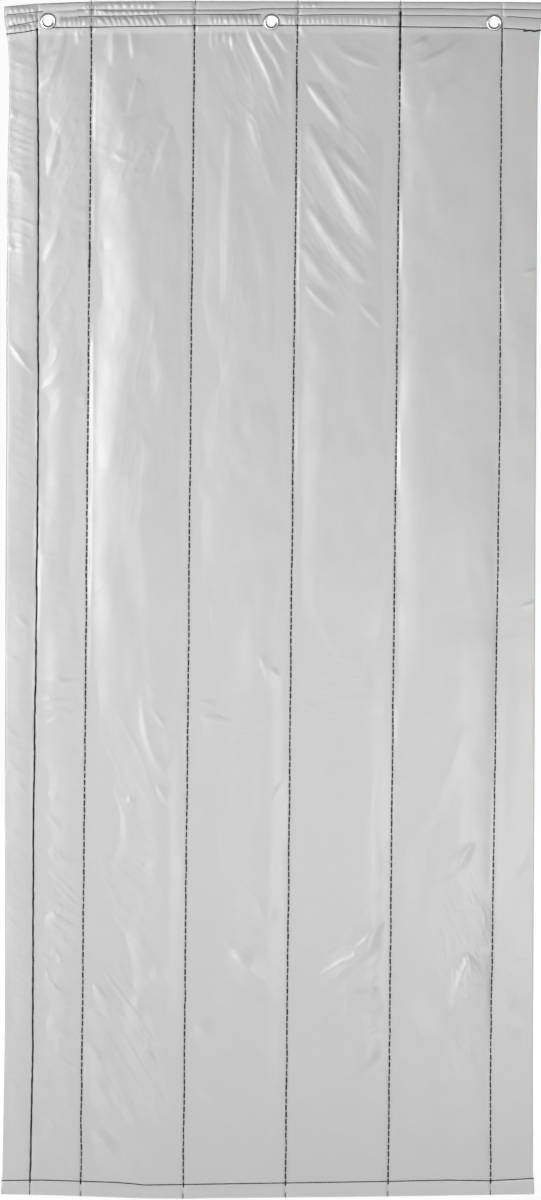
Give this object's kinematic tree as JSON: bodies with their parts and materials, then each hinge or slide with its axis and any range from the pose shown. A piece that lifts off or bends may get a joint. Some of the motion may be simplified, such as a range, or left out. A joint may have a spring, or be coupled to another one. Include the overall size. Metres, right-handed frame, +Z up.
{
  "type": "insulated door curtain",
  "caption": "Quilted coated-fabric door curtain with a stitched grommet header, padded channels that fold at their seams, turned side hems and a folded bottom hem.",
  "frame": {"origin": "middle of the centre grommet's hook hole, halfway through the header", "axes": "+X to the right seen from the front, +Y to the back, +Z up"},
  "size_m": [0.9074, 0.0154, 2.0323],
  "materials": {
    "coated_fabric": "satin",
    "batting": "matte",
    "webbing": "matte",
    "thread": "satin",
    "nickel": "polished"
  },
  "bodies": {
    "centre_leaf": {"front_skin_centre": "coated_fabric", "back_skin_centre": "coated_fabric", "insulation_centre": "batting", "header_webbing_centre": "webbing", "grommet_centre": "nickel", "grommet_washer_centre": "nickel", "seam_3_needle_thread": "thread", "seam_3_bobbin_thread": "thread", "seam_4_needle_thread": "thread", "seam_4_bobbin_thread": "thread"},
    "mid_left_leaf": {"front_skin_mid_left": "coated_fabric", "back_skin_mid_left": "coated_fabric", "insulation_mid_left": "batting", "header_webbing_mid_left": "webbing", "seam_2_needle_thread": "thread", "seam_2_bobbin_thread": "thread"},
    "left_leaf": {"left_side_hem": "coated_fabric", "front_skin_left": "coated_fabric", "back_skin_left": "coated_fabric", "insulation_left_hem": "batting", "insulation_left": "batting", "header_webbing_left": "webbing", "grommet_left": "nickel", "grommet_washer_left": "nickel", "seam_1_needle_thread": "thread", "seam_1_bobbin_thread": "thread"},
    "mid_right_leaf": {"front_skin_mid_right": "coated_fabric", "back_skin_mid_right": "coated_fabric", "insulation_mid_right": "batting", "header_webbing_mid_right": "webbing", "seam_5_needle_thread": "thread", "seam_5_bobbin_thread": "thread"},
    "right_leaf": {"front_skin_right": "coated_fabric", "back_skin_right": "coated_fabric", "right_side_hem": "coated_fabric", "insulation_right": "batting", "insulation_right_hem": "batting", "header_webbing_right": "webbing", "grommet_right": "nickel", "grommet_washer_right": "nickel", "seam_6_needle_thread": "thread", "seam_6_bobbin_thread": "thread"}
  },
  "joints": [
    {"name": "right_side_fold", "type": "hinge", "parent": "centre_leaf", "child": "mid_right_leaf", "pos_m": [0.0445, 0, 0], "axis": [0, 0, 1], "range_deg": [-115, 115], "stiffness_Nm_per_rad": 0.5},
    {"name": "right_leaf_fold_back", "type": "hinge", "parent": "mid_right_leaf", "child": "right_leaf", "pos_m": [0.219, 0, 0], "axis": [0, 0, 1], "range_deg": [-115, 115]},
    {"name": "left_side_fold", "type": "hinge", "parent": "centre_leaf", "child": "mid_left_leaf", "pos_m": [-0.13, 0, 0], "axis": [0, 0, 1], "range_deg": [-115, 115], "stiffness_Nm_per_rad": 0.5},
    {"name": "left_leaf_fold_back", "type": "hinge", "parent": "mid_left_leaf", "child": "left_leaf", "pos_m": [-0.3045, 0, 0], "axis": [0, 0, 1], "range_deg": [-115, 115]}
  ],
  "couplings": [
    {"joint": "right_leaf_fold_back", "follows": "right_side_fold", "ratio": -1},
    {"joint": "left_leaf_fold_back", "follows": "left_side_fold", "ratio": -1}
  ]
}
